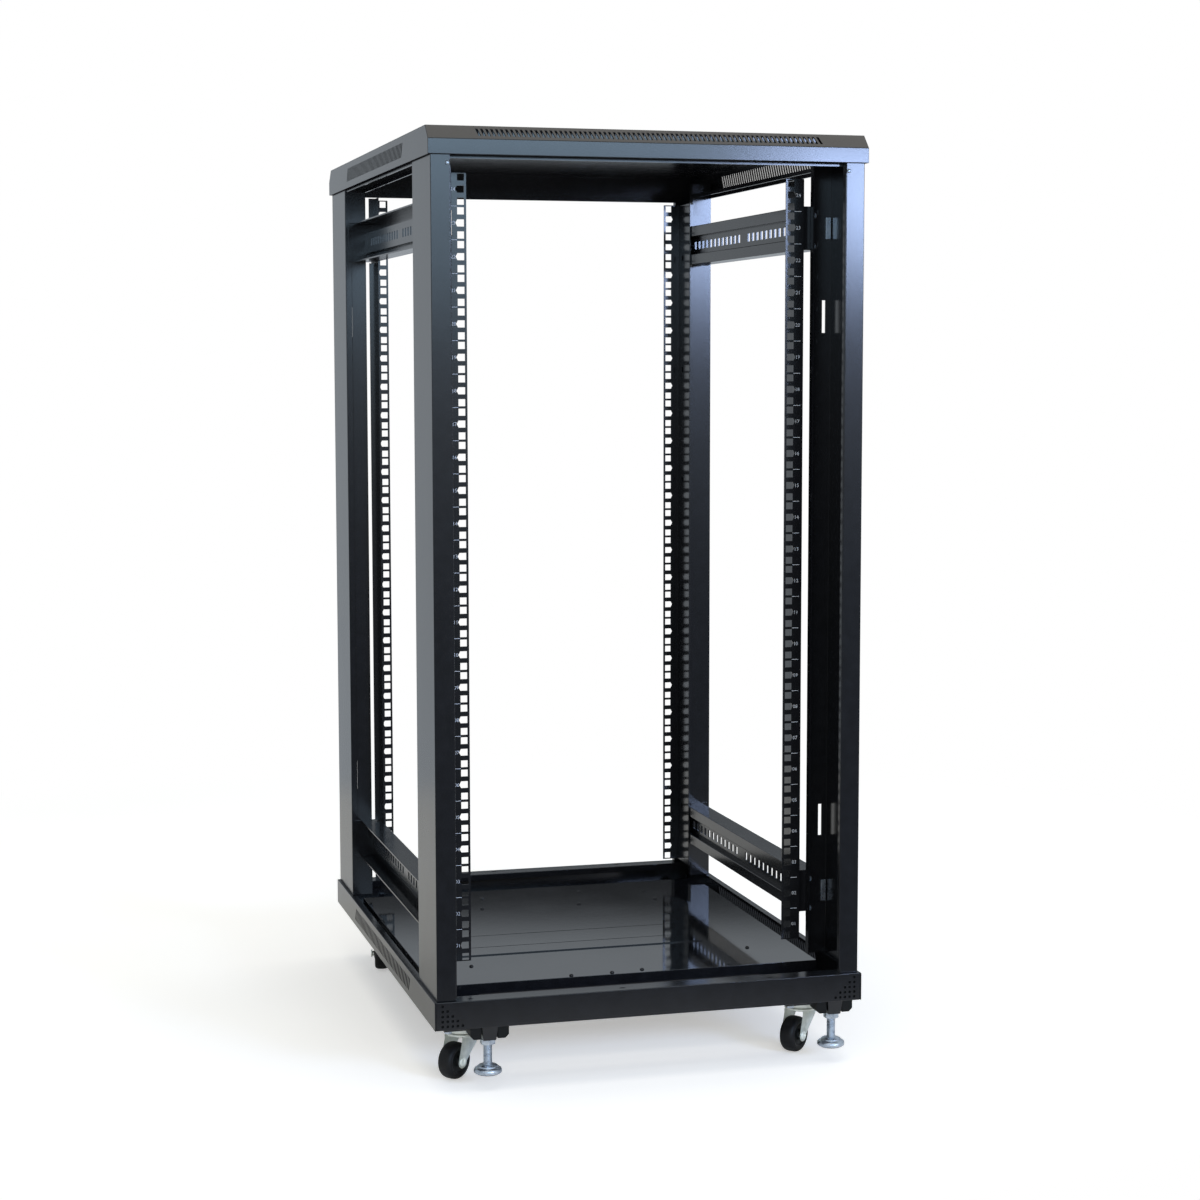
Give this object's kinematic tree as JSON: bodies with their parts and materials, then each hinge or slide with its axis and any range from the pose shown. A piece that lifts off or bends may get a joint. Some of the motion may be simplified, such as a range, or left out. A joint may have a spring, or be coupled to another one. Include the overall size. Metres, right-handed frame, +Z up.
{
  "type": "four post open frame rack",
  "caption": "Open frame equipment rack: folded steel posts, square-holed mounting rails, vented roof cover, floor plate, swivel casters and levelling feet.",
  "frame": {"origin": "on the floor under the middle of the frame", "axes": "+Z up, +X to the right seen from the front, +Y towards the rear"},
  "size_m": [0.6, 0.8, 1.268],
  "materials": {
    "black_powder_coat": "semi-gloss powder coat",
    "gloss_black_sheet": "glossy paint",
    "zinc_plate": "zinc plated",
    "black_tyre": "smooth rubber",
    "black_plastic": "moulded"
  },
  "bodies": {
    "frame": {"base_front_beam": "black_powder_coat", "base_rear_beam": "black_powder_coat", "base_left_side": "black_powder_coat", "base_right_side": "black_powder_coat", "floor_plate": "gloss_black_sheet", "cable_entry_slats": "gloss_black_sheet", "corner_post_front_left": "black_powder_coat", "corner_post_front_right": "black_powder_coat", "corner_post_rear_left": "black_powder_coat", "corner_post_rear_right": "black_powder_coat", "mounting_rail_front_left": "black_powder_coat", "mounting_rail_front_right": "black_powder_coat", "mounting_rail_rear_left": "black_powder_coat", "mounting_rail_rear_right": "black_powder_coat", "upper_depth_channel_left": "black_powder_coat", "lower_depth_channel_left": "black_powder_coat", "upper_depth_channel_right": "black_powder_coat", "lower_depth_channel_right": "black_powder_coat", "top_front_beam": "black_powder_coat", "top_rear_beam": "black_powder_coat", "top_left_beam": "black_powder_coat", "top_right_beam": "black_powder_coat", "top_cover": "black_powder_coat", "caster_mount_front_left": "zinc_plate", "foot_bracket_front_left": "black_plastic", "caster_mount_front_right": "zinc_plate", "foot_bracket_front_right": "black_plastic", "caster_mount_rear_left": "zinc_plate", "foot_bracket_rear_left": "black_plastic", "caster_mount_rear_right": "zinc_plate", "foot_bracket_rear_right": "black_plastic"},
    "swivel_front_left": {"caster_fork_front_left": "zinc_plate"},
    "wheel_front_left": {"caster_wheel_front_left": "black_tyre"},
    "foot_front_left": {"levelling_foot_front_left": "zinc_plate"},
    "swivel_front_right": {"caster_fork_front_right": "zinc_plate"},
    "wheel_front_right": {"caster_wheel_front_right": "black_tyre"},
    "foot_front_right": {"levelling_foot_front_right": "zinc_plate"},
    "swivel_rear_left": {"caster_fork_rear_left": "zinc_plate"},
    "wheel_rear_left": {"caster_wheel_rear_left": "black_tyre"},
    "foot_rear_left": {"levelling_foot_rear_left": "zinc_plate"},
    "swivel_rear_right": {"caster_fork_rear_right": "zinc_plate"},
    "wheel_rear_right": {"caster_wheel_rear_right": "black_tyre"},
    "foot_rear_right": {"levelling_foot_rear_right": "zinc_plate"}
  },
  "joints": [
    {"name": "caster_swivel_front_left", "type": "hinge", "parent": "frame", "child": "swivel_front_left", "pos_m": [-0.244, -0.311, 0.0625], "axis": [0, 0, 1], "continuous": true},
    {"name": "wheel_spin_front_left", "type": "hinge", "parent": "swivel_front_left", "child": "wheel_front_left", "pos_m": [-0.25855, -0.32321, 0.025], "axis": [0.6428, -0.766, 0], "continuous": true},
    {"name": "foot_screw_front_left", "type": "slide", "parent": "frame", "child": "foot_front_left", "axis": [0, 0, 1], "range_m": [-0.025, 0.017]},
    {"name": "caster_swivel_front_right", "type": "hinge", "parent": "frame", "child": "swivel_front_right", "pos_m": [0.244, -0.311, 0.0625], "axis": [0, 0, 1], "continuous": true},
    {"name": "wheel_spin_front_right", "type": "hinge", "parent": "swivel_front_right", "child": "wheel_front_right", "pos_m": [0.22945, -0.32321, 0.025], "axis": [0.6428, -0.766, 0], "continuous": true},
    {"name": "foot_screw_front_right", "type": "slide", "parent": "frame", "child": "foot_front_right", "axis": [0, 0, 1], "range_m": [-0.025, 0.017]},
    {"name": "caster_swivel_rear_left", "type": "hinge", "parent": "frame", "child": "swivel_rear_left", "pos_m": [-0.244, 0.311, 0.0625], "axis": [0, 0, 1], "continuous": true},
    {"name": "wheel_spin_rear_left", "type": "hinge", "parent": "swivel_rear_left", "child": "wheel_rear_left", "pos_m": [-0.2473, 0.29229, 0.025], "axis": [0.9848, -0.1736, 0], "continuous": true},
    {"name": "foot_screw_rear_left", "type": "slide", "parent": "frame", "child": "foot_rear_left", "axis": [0, 0, 1], "range_m": [-0.025, 0.017]},
    {"name": "caster_swivel_rear_right", "type": "hinge", "parent": "frame", "child": "swivel_rear_right", "pos_m": [0.244, 0.311, 0.0625], "axis": [0, 0, 1], "continuous": true},
    {"name": "wheel_spin_rear_right", "type": "hinge", "parent": "swivel_rear_right", "child": "wheel_rear_right", "pos_m": [0.22945, 0.29879, 0.025], "axis": [0.6428, -0.766, 0], "continuous": true},
    {"name": "foot_screw_rear_right", "type": "slide", "parent": "frame", "child": "foot_rear_right", "axis": [0, 0, 1], "range_m": [-0.025, 0.017]}
  ]
}
